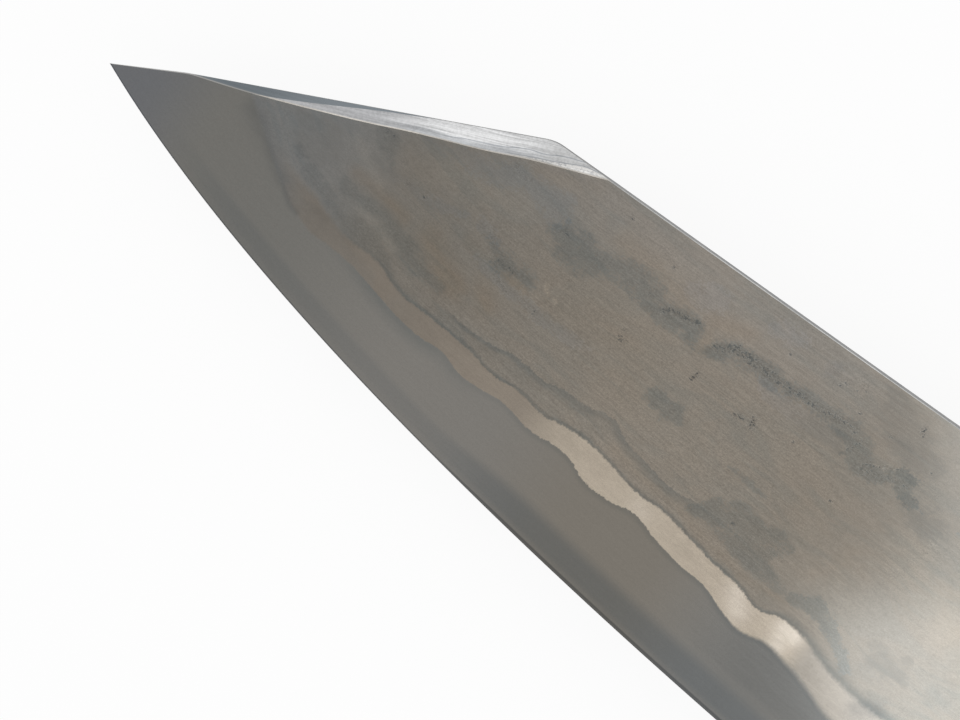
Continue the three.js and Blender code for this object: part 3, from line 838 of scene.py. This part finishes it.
class ForgedFace(Finish):
    """The stone-polished faces: hard core under the wavy line, stained soft iron above it."""

    def __init__(self):
        super().__init__("forged_face")
        x, y, z = [self.part(axis) for axis in range(3)]
        self.from_tip = x - zero.x / MM
        self.from_spine = zero.y / MM - y
        self.over_edge = self.mark("over_edge")
        self.over_line = self.mark("over_line")
        along_flow = self.point(x * 0.08, self.mark("flow") * 0.4, z * 0.2)
        along_grain = self.point(x * 0.26, self.mark("grain") * 5.4, z)
        self.streaks = self.noise(along_flow, 1.0, 4.0, 0.55, 0.9)
        self.hairs = self.noise(along_grain, 1.0, 3.0, 0.6)
        self.wisps = self.noise(self.stretched(along_grain, (1.4, 0.18, 0.5)), 1.0, 4.0, 0.65, 0.3)
        self.patches = self.cloud((0.16, 0.3, 0.3), 4.0, 0.6, 0.5)
        self.hues = self.cloud((0.12, 0.22, 0.3), 3.0, 0.5, 0.8, (0, 0, 0.15))
        self.specks = self.cloud((4.5, 8.0, 4.0), 2.0, 0.7)
        self.blots = self.cloud((3.0, 4.2, 3.0), 3.0, 0.6)
        self.mottle = self.cloud((0.8, 1.5, 1.0), 2.0, 0.6)
        self.teeth = self.cloud((2.6, 1.4, 1.0), 3.0, 0.6)
        self.grit = self.noise(self.place, 2.8, 4.0, 0.75)
        self.waver = self.noise(self.place, 0.45, 5.0, 0.62)
        self.band_edge = self.mark("over_band") + (self.waver - 0.5) * 0.6 + (self.teeth - 0.5) * 0.6
        mottled = 0.4 + self.specks * 1.2
        # Faint stains, a few of them painted shade
        self.faint_stain_and_shade = self.torn(self.mark("faint_stain_and_shade")) * mottled
        self.stain = self.torn(self.mark("dark_stain")) * mottled
        self.rough = self.mark("pits")
        flecks = self.blots.rises(0.4, 0.62)
        self.pit = (flecks * 0.6 + self.rough * 0.6 + self.stain * 0.1).rises(0.82, 1.0)

    def past(self, start, end):
        """0 nearer to the tip than the start, 1 past the end."""
        return self.from_tip.rises(start, end)

    def along(self, first, *changes):
        """A colour that changes along the blade."""
        colour = first
        for start, end, following in changes:
            colour = self.mix(self.past(start, end), colour, following)
        return colour

    def layered(self, colour, *tints):
        """The colour under several tints, each with its factor."""
        for factor, tint in tints:
            colour = self.tinted(factor, colour, tint)
        return colour

    def soft_iron(self):
        """Grey at the tip, browner towards the heel, with forging stains drawn out along the blade,
        painted sheen along the spine and near the heel, and a few patches of painted shade near the heel.
        """
        # Lighter and bluer along the spine: painted sheen
        sheen_near_spine = (1 - self.from_spine.rises(1, 13)) * self.past(34, 50)
        sheen_near_spine = sheen_near_spine * (1 - self.past(90, 102) * 0.7)
        brown = self.mark("tint") * (0.65 + self.patches.rises(0.35, 0.6) * 0.35)
        return self.layered(
            self.along(*IRON_TONES),
            (sheen_near_spine, (1.1, 1.13, 1.18)),
            (self.hues.rises(0.42, 0.62), (0.965, 0.985, 1.0)),
            (self.streaks.rises(0.5, 0.66), (0.93, 0.955, 0.97)),
            (self.past(96, 112), (0.97, 1.0, 1.03)),
            (brown, (1.01, 0.94, 0.87)),
            # Paler streaks and scratches, and a painted sheen near the heel
            (self.mark("pale"), (1.27, 1.24, 1.2)),
            # Faint stains, and a few patches of painted shade near the heel
            (self.faint_stain_and_shade, self.along(*FAINT_STAIN_AND_SHADE_TINTS)),
            (self.stain, self.along(*DARK_STAIN_TINTS)),
        )

    def torn(self, drawn):
        """A drawn stain with a ragged border."""
        coarse = (self.waver - 0.5) * 2.0 + (self.wisps - 0.5) * 1.6
        fine = (self.grit - 0.5) * 2.4 + (self.specks - 0.5) * 1.2
        return (drawn + (coarse + fine) * drawn.rises(0.0, 0.3)).rises(0.28, 0.8)

    def reaction_zone(self, iron):
        """The dark rims over the bright band."""
        halo_edge = self.mark("over_halo") + (self.waver - 0.5) + (self.grit - 0.5) * 0.8
        later = self.past(56, 70)
        wide = halo_edge.rises(-3.0, -0.3) * 0.3 * (1 - self.past(62, 74))
        close = halo_edge.rises(-0.7 - later * 0.8, -0.15) * (0.3 + self.wisps)
        below_halo = (close + wide) * (1 - halo_edge.rises(-0.06, 0.12))
        seen_halo = self.past(46, 52) * (1 - self.past(84, 88))
        rim_reach = 0.65 + self.past(98, 106) * 0.9
        above_band = (1 - self.band_edge.rises(0.15, rim_reach)) * self.past(30, 46)
        mottled = 0.5 + self.specks
        return self.layered(
            iron,
            (below_halo * seen_halo * mottled, (0.75, 0.805, 0.85)),
            (above_band * mottled, (0.74, 0.795, 0.835)),
        )

    def pitted(self, iron):
        """Ragged pits: deep single ones, and many small ones where the iron is rough."""
        deep = self.pit * self.rough.rises(0.8, 1.1)
        return self.layered(iron, (self.pit, (0.52, 0.555, 0.59)), (deep, (0.5, 0.52, 0.55)))

    def bright_band(self):
        """Brown near the tip, then pale, with painted highlights in places."""
        # Glints: painted highlights mixed into the band's colour
        band = self.mix(self.mark("glint"), self.along(*BAND_TONES), (0.67, 0.595, 0.505))
        band = self.mix(self.past(103.6, 106.8), band, (0.36, 0.325, 0.28))
        greyer = self.hues.rises(0.4, 0.6) * (1 - self.past(38, 50))
        dull = self.patches.rises(0.5, 0.7) * 0.6
        return self.layered(band, (greyer, (0.96, 0.985, 1.01)), (dull, (0.88, 0.88, 0.88)))

    def hard_core(self):
        """Even grey, with a hazy darker zone along the edge that ends in a soft border, and a line of
        painted shade right at the edge.
        """
        later = self.past(54, 70)
        haze = 1 - self.over_edge.rises(2.3 + later * 0.7, 3.4 + later * 1.6)
        haze = haze * (0.45 + self.over_edge.rises(0.3, 1.4) * 0.55)
        haze = haze * (self.past(8, 22) * 0.4 + later * 0.6)
        high_up = self.over_edge.rises(3, 6) * self.past(88, 104)
        close_under = self.over_line.rises(-0.9, -0.15) * (self.past(30, 40) * 0.3 + later * 0.4)
        wide_under = self.over_line.rises(-2.2, -0.4) * self.past(32, 42) * (1 - self.past(48, 60))
        under_line = close_under + wide_under * (0.2 + self.patches)
        # A dark line right at the edge: painted shade on its small bevel
        painted_edge_shade = 1 - self.over_edge.rises(0.12 + later * 0.25, 0.28 + later * 0.28)
        return self.layered(
            self.along(*CORE_TONES),
            (haze, (0.71, 0.765, 0.825)),
            (high_up, (0.77, 0.795, 0.82)),
            (under_line, (0.79, 0.83, 0.85)),
            (painted_edge_shade, (0.56, 0.58, 0.61)),
        )

    def worked(self, in_iron, in_band):
        """How light the brushing and the grain leave each point, about 1."""
        off_band = 1 - in_band * 0.8
        calm = 1 - self.past(88, 106) * 0.68
        combed = in_iron * self.past(24, 60) * off_band * calm * 0.34 + 0.1
        calm = calm * (0.72 + self.from_spine.rises(4, 14) * 0.28)
        uneven = in_iron * (0.32 + self.past(24, 56) * 0.68) * off_band * calm
        speckled = 0.2 + uneven * 0.58 + in_iron * (self.rough * 0.5 + self.stain * 0.3)
        gritty = (self.grit - 0.5) * (0.14 + uneven * 0.3) + (self.specks - 0.5) * speckled
        gritty = gritty + (self.blots - 0.5) * (self.rough * 1.4 + self.stain * 0.3) * in_iron
        return 1 + (self.hairs - 0.5) * combed + gritty + (self.mottle - 0.5) * in_iron * 0.16

    def finished(self):
        iron = self.pitted(self.reaction_zone(self.soft_iron()))
        blurred = 4 - self.past(26, 46) * 3 + self.past(100, 108) * 2
        in_band = (1 - (self.band_edge / blurred).rises(-0.15, 0.15)) * self.past(20, 30)
        iron = self.mix(in_band, iron, self.bright_band())
        ragged = self.past(60, 68) * (1 - self.past(78, 88)) * 0.5 + 0.3
        line_edge = self.over_line + (self.teeth - 0.5) * ragged
        softness = 0.5 - self.past(14, 46) * 0.42 + self.past(92, 108) * 0.5
        in_iron = (line_edge / softness).rises(-1.0, 1.0)
        colour = self.mix(in_iron, self.hard_core(), iron)
        colour = self.tinted(self.mark("shade") * (0.4 + self.wisps), colour, (0.78, 0.795, 0.815))
        step = in_iron * (1 - self.past(88, 100)) * 0.3
        height = self.hairs * 0.2 - self.pit * in_iron + step
        colour = self.scaled(colour, self.worked(in_iron, in_band))
        return self.done(colour, 0.115 + (self.hairs - 0.5) * 0.03, (height, 0.15, 0.01), METAL)


def swedge_finish():
    """The facets ground along the clipped back: bright iron, brushed along the facet."""
    finish = Finish("ground_swedge")
    x = finish.part(0)
    from_tip = x - zero.x / MM
    border = finish.mark("border")
    across = finish.mark("facet")
    lines = finish.noise(finish.point(x * 0.1, border * 2.4), 1.0, 4.0, 0.6, 0.3)
    fine = finish.noise(finish.point(x * 0.2, border * 9.0), 1.0, 4.0, 0.65)
    grit = finish.noise(finish.place, 3.0, 3.0, 0.6)
    metal = finish.mix(from_tip.rises(28, 38), (0.385, 0.387, 0.395), (0.63, 0.632, 0.635))
    metal = finish.mix(from_tip.rises(44, 52), metal, (0.55, 0.552, 0.55))
    lower = (1 - (across + (lines - 0.5) * 0.9).rises(0.2, 0.5)) * from_tip.rises(29, 35)
    metal = finish.tinted(lower * (1 - from_tip.rises(44, 50)), metal, (0.7, 0.715, 0.73))
    speckled = (1 - finish.mark("lower_crease").rises(-0.08, 0.05)) * from_tip.rises(42, 47)
    metal = finish.mix(speckled, metal, (0.68, 0.67, 0.65))
    metal = finish.tinted(speckled * grit.rises(0.48, 0.6), metal, (0.66, 0.67, 0.69))
    for name, start, end in (("upper_crease", 36, 39), ("lower_crease", 43, 46)):
        crease = 1 - abs(finish.mark(name) + (fine - 0.5) * 0.14).rises(0.02, 0.11)
        metal = finish.tinted(crease * from_tip.rises(start, end), metal, (0.6, 0.62, 0.65))
    # A beige line along the facet's lower border: painted highlight of a small chamfer there
    metal = finish.mix(1 - border.rises(0.08, 0.2), metal, (0.5, 0.47, 0.43))
    metal = finish.mix(from_tip.rises(55, 56), metal, (0.5, 0.5, 0.49))
    brushed = 0.58 + lines.rises(0.34, 0.64) * 0.3 + fine.rises(0.3, 0.7) * 0.34
    brushed = brushed + grit.rises(0.3, 0.7) * 0.16
    return finish.done(finish.scaled(metal, brushed), 0.24 + fine * 0.1, (fine, 0.2, 0.01), METAL)


def slate_swedge_finish():
    """Hard core steel where the swedge cuts through to it."""
    finish = Finish("slate_swedge")
    x = finish.part(0)
    border = finish.mark("border")
    fine = finish.noise(finish.point(x * 0.12, border * 4.0), 1.0, 4.0)
    # A paler line along the lower border: painted highlight of a small chamfer there
    border_highlight = 1 - border.rises(0.06, 0.2)
    slate = finish.mix((x - zero.x / MM).rises(12, 22), (0.158, 0.179, 0.196), (0.188, 0.209, 0.226))
    colour = finish.mix(border_highlight, slate, (0.33, 0.325, 0.315))
    colour = finish.scaled(colour, 0.85 + fine * 0.3)
    return finish.done(colour, 0.24 + fine * 0.1, (fine, 0.2, 0.01), METAL)


def spine_finish():
    """The spine, the back of the heel and the top of the tang: linished along the length, dark as
    unpolished steel and darker still by painted shade for the dark surroundings it reflects.
    """
    finish = Finish("linished_spine")
    fine = finish.cloud((0.05, 5.0, 5.0), 4.0, 0.6)
    spots = finish.noise(finish.place, 0.5, 4.0, 0.6)
    # Very dark steel: partly its own tone, partly painted shade for the dark surroundings it reflects
    colour = finish.mix(spots.rises(0.4, 0.65), (0.115, 0.118, 0.122), (0.165, 0.162, 0.158))
    colour = finish.scaled(colour, 0.85 + fine * 0.3)
    return finish.done(colour, 0.34 + fine * 0.14, (fine, 0.25, 0.02), METAL)


def wood_finish(name, pale, dark, across):
    """Straight-grained pale wood with fine pores along the length."""
    finish = Finish(name)
    rings = finish.cloud((0.012, across, across * 0.6), 3.0, 0.5, 0.6)
    fibres = finish.cloud((0.06, 3.0, 3.0), 4.0, 0.65)
    pores = finish.cloud((0.12, 7.0, 7.0), 2.0, 0.5).rises(0.6, 0.75)
    colour = finish.mix(rings.rises(0.3, 0.7), pale, dark)
    colour = finish.mix(pores * 0.4, colour, tuple(channel * 0.6 for channel in dark))
    colour = finish.scaled(colour, 0.86 + fibres * 0.28)
    return finish.done(colour, 0.5 + fibres * 0.16, (fibres - pores, 0.2, 0.05))


def horn_finish():
    """Polished dark horn with paler streaks along the length."""
    finish = Finish("polished_horn")
    streaks = finish.cloud((0.035, 0.28, 0.28), 4.0, 0.6, 0.7)
    fine = finish.cloud((0.1, 3.0, 3.0), 3.0, 0.6)
    colour = finish.mix(streaks.rises(0.5, 0.75), (0.018, 0.016, 0.015), (0.13, 0.095, 0.065))
    return finish.done(finish.scaled(colour, 0.8 + fine * 0.4), 0.24 + fine * 0.1, (fine, 0.1, 0.03))


def wax_finish(name, pale, dark, roughness):
    """Wax or resin: cloudy, with small dimples."""
    finish = Finish(name)
    cloudy = finish.noise(finish.place, 0.6, 4.0, 0.6, 0.4)
    dimples = finish.noise(finish.place, 2.2, 3.0, 0.6)
    colour = finish.mix(cloudy.rises(0.35, 0.65), dark, pale)
    return finish.done(colour, roughness + dimples * 0.15, (dimples, 0.3, 0.1))


# Handle

def octagon_tree():
    """Geometry Nodes: a bar of octagonal section along X, whose height grows over its length."""
    tree = bpy.data.node_groups.new("octagon_bar", "GeometryNodeTree")

    def input_socket(name, kind):
        return tree.interface.new_socket(name=name, in_out="INPUT", socket_type=kind).identifier

    names = ("Start", "Length", "Height", "Growth", "Width", "Corner Cut", "Axis Y", "Axis Z",
             "Front Ease", "Back Ease", "Corner Ease")
    sizes = {name: input_socket(name, "NodeSocketFloat") for name in names}
    sizes["Material"] = input_socket("Material", "NodeSocketMaterial")
    tree.interface.new_socket(name="Geometry", in_out="OUTPUT", socket_type="NodeSocketGeometry")
    given = tree.nodes.new("NodeGroupInput")
    size = {socket.name: Value(tree, socket) for socket in given.outputs if socket.name}

    def node(kind, settings, inputs, output=0):
        return add_node(tree, kind, settings, inputs, output)

    section = node("GeometryNodeCurvePrimitiveQuadrilateral", {"mode": "RECTANGLE"},
                   {"Width": size["Height"], "Height": size["Width"]})
    section = node("GeometryNodeFilletCurve", {"mode": "POLY"},
                   {"Curve": section, "Count": 1, "Radius": size["Corner Cut"]})
    start = node("ShaderNodeCombineXYZ", {}, {0: size["Start"]})
    end_x = size["Start"] + size["Length"]
    end = node("ShaderNodeCombineXYZ", {}, {0: end_x})
    path = node("GeometryNodeCurvePrimitiveLine", {"mode": "POINTS"}, {"Start": start, "End": end})
    bar = node("GeometryNodeCurveToMesh", {}, {"Curve": path, "Profile Curve": section, "Fill Caps": True})
    place = node("GeometryNodeInputPosition", {}, {})
    x, y, z = [node("ShaderNodeSeparateXYZ", {}, {0: place}, axis) for axis in range(3)]
    grown = (x - size["Start"]) / size["Length"] * size["Growth"] / 2
    moved = node("ShaderNodeCombineXYZ", {}, {
        0: x,
        1: y + y.maths("SIGN", y, 0) * grown + size["Axis Y"],
        2: z + size["Axis Z"],
    })
    bar = node("GeometryNodeSetPosition", {}, {"Geometry": bar, "Position": moved})
    at_front = x.maths("LESS_THAN", x, size["Start"] + MM)
    at_back = x.maths("GREATER_THAN", x, end_x - MM)
    on_rims = at_front * size["Front Ease"] + at_back * size["Back Ease"]
    ease = size["Corner Ease"] * (1 - at_front - at_back) + on_rims
    bar = node("GeometryNodeStoreNamedAttribute", {"data_type": "FLOAT", "domain": "EDGE"},
               {"Geometry": bar, "Name": "bevel_weight_edge", "Value": ease})
    bar = node("GeometryNodeRealizeInstances", {}, {"Geometry": bar})
    bar = node("GeometryNodeSetMaterial", {}, {"Geometry": bar, "Material": size["Material"]})
    result = tree.nodes.new("NodeGroupOutput")
    tree.links.new(bar.socket, result.inputs["Geometry"])
    return tree, sizes


def block(name, start, end, half_height, half_width, round_sides=0):
    """A box, or a rod, round the handle's axis from one x to another, in the blade's millimetres."""
    low = (start, axis_y - half_height, -half_width)
    high = (end, axis_y + half_height, half_width)
    centre = Vector([(a + b) / 2 for a, b in zip(low, high)]) * MM + zero
    size = Vector([b - a for a, b in zip(low, high)]) * MM
    place = Matrix.Translation(centre)
    shape = bmesh.new()
    if round_sides:
        radius = size.y / 2
        place = place @ Matrix.Rotation(math.radians(90), 4, "Y")
        bmesh.ops.create_cone(shape, cap_ends=True, segments=round_sides, radius1=radius, radius2=radius,
                              depth=size.x, matrix=place)
    else:
        bmesh.ops.create_cube(shape, size=1, matrix=place @ Matrix.Diagonal((*size, 1)))
    mesh = bpy.data.meshes.new(name)
    shape.to_mesh(mesh)
    shape.free()
    return add_object(name, mesh)


def cut_out(piece, tools, crease):
    """Cuts the tools out of a piece, which becomes a plain mesh, and removes them."""
    for tool in tools:
        hole = piece.modifiers.new("hole", "BOOLEAN")
        hole.operation = "DIFFERENCE"
        hole.object = tool
    bpy.context.view_layer.update()
    graph = bpy.context.evaluated_depsgraph_get()
    mesh = bpy.data.meshes.new_from_object(piece.evaluated_get(graph), depsgraph=graph)
    piece.modifiers.clear()
    piece.data = mesh
    for tool in tools:
        bpy.data.objects.remove(tool)
    shade(mesh, crease)


def octagon_piece(name, tree, sizes, start, length, material, tools, front_ease, back_ease):
    """A stretch of the octagonal handle with eased corners and rims, and with its bores."""
    piece = add_object(name, bpy.data.meshes.new(name))
    growth_rate = (BUTT_HEIGHT - FRONT_HEIGHT) / HANDLE_LENGTH
    values = {
        "Start": start * MM + zero.x,
        "Length": length * MM,
        "Height": (FRONT_HEIGHT + growth_rate * (start - handle_start)) * MM,
        "Growth": growth_rate * length * MM,
        "Width": HANDLE_WIDTH * MM,
        "Corner Cut": CORNER_CUT * MM,
        "Axis Y": axis_y * MM + zero.y,
        "Axis Z": zero.z,
        "Front Ease": front_ease / RIM_EASE,
        "Back Ease": back_ease / RIM_EASE,
        "Corner Ease": CORNER_EASE / RIM_EASE,
        "Material": material,
    }
    bar = piece.modifiers.new("octagon", "NODES")
    bar.node_group = tree
    for size, value in values.items():
        bar[sizes[size]] = value
    rounding = piece.modifiers.new("eased_corners", "BEVEL")
    rounding.width = RIM_EASE * MM
    rounding.segments = EASE_SEGMENTS
    rounding.limit_method = "WEIGHT"
    cut_out(piece, tools, HANDLE_CREASE)
    return piece


def make_handle_pieces(horn, magnolia):
    """The ferrule and the handle body."""
    tree, sizes = octagon_tree()
    half_mouth = NECK_HEIGHT / 2 + SEAL_WALL + 2 * FIT
    half_mouth_width = NECK_THICKNESS / 2 + SEAL_WALL + 2 * FIT
    web_end = handle_start + FERRULE_WEB
    bore_end = body_start + BORE_IN_BODY
    bore = (BORE_DIAMETER / 2, BORE_DIAMETER / 2, BORE_SIDES)
    mouth = block("mouth_cutter", handle_start - 2 * OVERSHOOT, web_end + OVERSHOOT,
                  half_mouth, half_mouth_width)
    ferrule_bore = block("ferrule_bore_cutter", web_end, body_start + OVERSHOOT, *bore)
    body_bore = block("body_bore_cutter", body_start - OVERSHOOT, bore_end, *bore)
    ferrule = octagon_piece("horn_ferrule", tree, sizes, handle_start, FERRULE_LENGTH, horn,
                            [mouth, ferrule_bore], RIM_EASE, JOINT_EASE)
    body = octagon_piece("magnolia_handle", tree, sizes, body_start, handle_end - body_start, magnolia,
                         [body_bore], JOINT_EASE, RIM_EASE)
    return ferrule, body


def make_wax_bead(material):
    """The wax collar at the mouth of the ferrule, with a rounded bead."""
    half_height = NECK_HEIGHT / 2
    half_width = NECK_THICKNESS / 2
    start = handle_start - SEAL_BEAD
    end = handle_start + SEAL_DEPTH
    bead = block("wax_bead", start, end, half_height + SEAL_WALL + FIT, half_width + SEAL_WALL + FIT)
    rounding = bead.modifiers.new("rounding", "BEVEL")
    rounding.width = SEAL_ROUNDING * MM
    rounding.segments = ROUNDING_SEGMENTS
    neck = block("neck_cutter", start - OVERSHOOT, end + OVERSHOOT,
                 half_height + FIT / 2, half_width + FIT / 2)
    cut_out(bead, [neck], SEAL_CREASE)
    bead.data.materials.append(material)
    return bead


# Floor, light and camera

# Half the floor's side and the nearest distance that the camera sees, in metres
FLOOR_HALF = 4.0
NEAREST_SEEN = 0.01

# How much of the floor's look is its own white
FLOOR_GLOW = 0.9

# The camera's place and angles, in the blade's millimetres and in degrees
LENS = 100
SENSOR_WIDTH = 36
CAMERA_TARGET = (55.17, -26.02, 0)
CAMERA_DISTANCE = 311.24
CAMERA_LEAN = 10.37
CAMERA_ROLL = 35.37

# Lamps: name, centre, width, depth, turn, radiance, colour, in the same units
SOFTBOXES = (
    ("clip_softbox", (-222, 359, 900), 320, 320, 0, 0.6, (1, 1, 1)),
    ("sheen_softbox", (368, -242, 900), 200, 160, 43, 1.65, (0.93, 1, 1.07)),
    ("side_softbox", (347, -166, 900), 150, 300, 32, 0.85, (0.93, 1, 1.07)),
)


def make_floor():
    """A plain white floor that keeps a faint shadow."""
    mesh = bpy.data.meshes.new("floor")
    corners = [(x * FLOOR_HALF, y * FLOOR_HALF, 0) for x, y in ((-1, -1), (1, -1), (1, 1), (-1, 1))]
    mesh.from_pydata(corners, [], [(0, 1, 2, 3)])
    floor = add_object("floor", mesh)
    finish = Finish("white_floor")
    path = [finish.node("ShaderNodeLightPath", output=name) for name in
            ("Is Camera Ray", "Is Glossy Ray", "Is Transmission Ray")]
    seen = path[0].at_least(path[1]).at_least(path[2])
    paper = finish.node("ShaderNodeBsdfDiffuse", inputs={"Color": (0.9, 0.9, 0.9, 1)})
    glow = finish.node("ShaderNodeEmission", inputs={"Color": (1, 1, 1, 1), "Strength": 1.0})
    shown = finish.node("ShaderNodeMixShader", inputs={0: seen * FLOOR_GLOW, 1: paper, 2: glow})
    finish.node("ShaderNodeOutputMaterial", inputs={"Surface": shown})
    floor.data.materials.append(finish.material)
    return floor


def make_world():
    """Pale at the horizon, greyer overhead."""
    world = bpy.data.worlds.new("studio")
    bpy.context.scene.world = world
    world.use_nodes = True
    tree = world.node_tree
    tree.nodes.clear()
    way = add_node(tree, "ShaderNodeTexCoord", {}, {})
    height = add_node(tree, "ShaderNodeSeparateXYZ", {}, {0: way}, 2)
    shade = add_node(tree, "ShaderNodeMix", {"data_type": "RGBA"},
                     {0: height.rises(0.25, 0.95), 6: (1, 1, 1, 1), 7: (0.85, 0.85, 0.85, 1)}, 2)
    sky = add_node(tree, "ShaderNodeBackground", {}, {"Color": shade, "Strength": 1.0})
    add_node(tree, "ShaderNodeOutputWorld", {}, {"Surface": sky})


def add_softbox(name, centre, width, depth, turn, radiance, colour):
    """A level rectangular lamp that shines straight down, in the blade's millimetres."""
    lamp = bpy.data.lights.new(name, "AREA")
    lamp.shape = "RECTANGLE"
    lamp.size = width * MM
    lamp.size_y = depth * MM
    lamp.energy = radiance * math.pi * lamp.size * lamp.size_y
    lamp.color = colour
    holder = add_object(name, lamp)
    holder.location = Vector(centre) * MM + zero
    holder.rotation_euler.z = math.radians(turn)


def make_camera():
    """Looks down at the front half of the blade, leaning and rolled as in the photograph."""
    lean = math.radians(CAMERA_LEAN)
    roll = math.radians(CAMERA_ROLL)
    out = Vector((0, math.sin(lean), math.cos(lean)))
    level = Vector((1, 0, 0))
    right = level * math.cos(roll) + out.cross(level) * math.sin(roll)
    up = out.cross(right)
    eye = (Vector(CAMERA_TARGET) + out * CAMERA_DISTANCE) * MM + zero
    data = bpy.data.cameras.new("camera")
    data.lens = LENS
    data.sensor_width = SENSOR_WIDTH
    data.clip_start = NEAREST_SEEN
    camera = add_object("camera", data)
    camera.matrix_world = Matrix.Translation(eye) @ Matrix((right, up, out)).transposed().to_4x4()
    bpy.context.scene.camera = camera


bpy.context.scene.view_settings.view_transform = "Standard"

face = ForgedFace().finished()
swedge = swedge_finish()
slate = slate_swedge_finish()
spine = spine_finish()
core_layer = make_core_layer([face, slate, spine])
left_iron = make_iron_layer("left_iron", 1, [face, swedge, spine])
right_iron = make_iron_layer("right_iron", -1, [face, swedge, spine])

horn = horn_finish()
magnolia = wood_finish("oiled_magnolia", (0.66, 0.5, 0.31), (0.5, 0.36, 0.2), 0.35)
ferrule, handle = make_handle_pieces(horn, magnolia)
bead = make_wax_bead(wax_finish("sealing_wax", (0.36, 0.25, 0.12), (0.24, 0.16, 0.07), 0.4))

for node_name, material in (
    ("tang_dowel", wood_finish("raw_dowel", (0.6, 0.44, 0.26), (0.48, 0.33, 0.18), 0.5)),
    ("tang_resin", wax_finish("amber_resin", (0.5, 0.33, 0.12), (0.38, 0.24, 0.08), 0.2)),
):
    nodes[node_name].data.materials.clear()
    nodes[node_name].data.materials.append(material)

PIECES = (
    (core_layer, "core_steel", "hard_steel"),
    (left_iron, "left_cladding", "soft_iron"),
    (right_iron, "right_cladding", "soft_iron"),
    (bead, "neck_seal", "wax"),
    (ferrule, "ferrule", "horn"),
    (handle, "handle_body", "handle_wood"),
)
for piece, node_name, slot_name in PIECES:
    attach(piece, "root")
    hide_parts(node_name)

make_floor()
make_world()
for softbox in SOFTBOXES:
    add_softbox(*softbox)
make_camera()
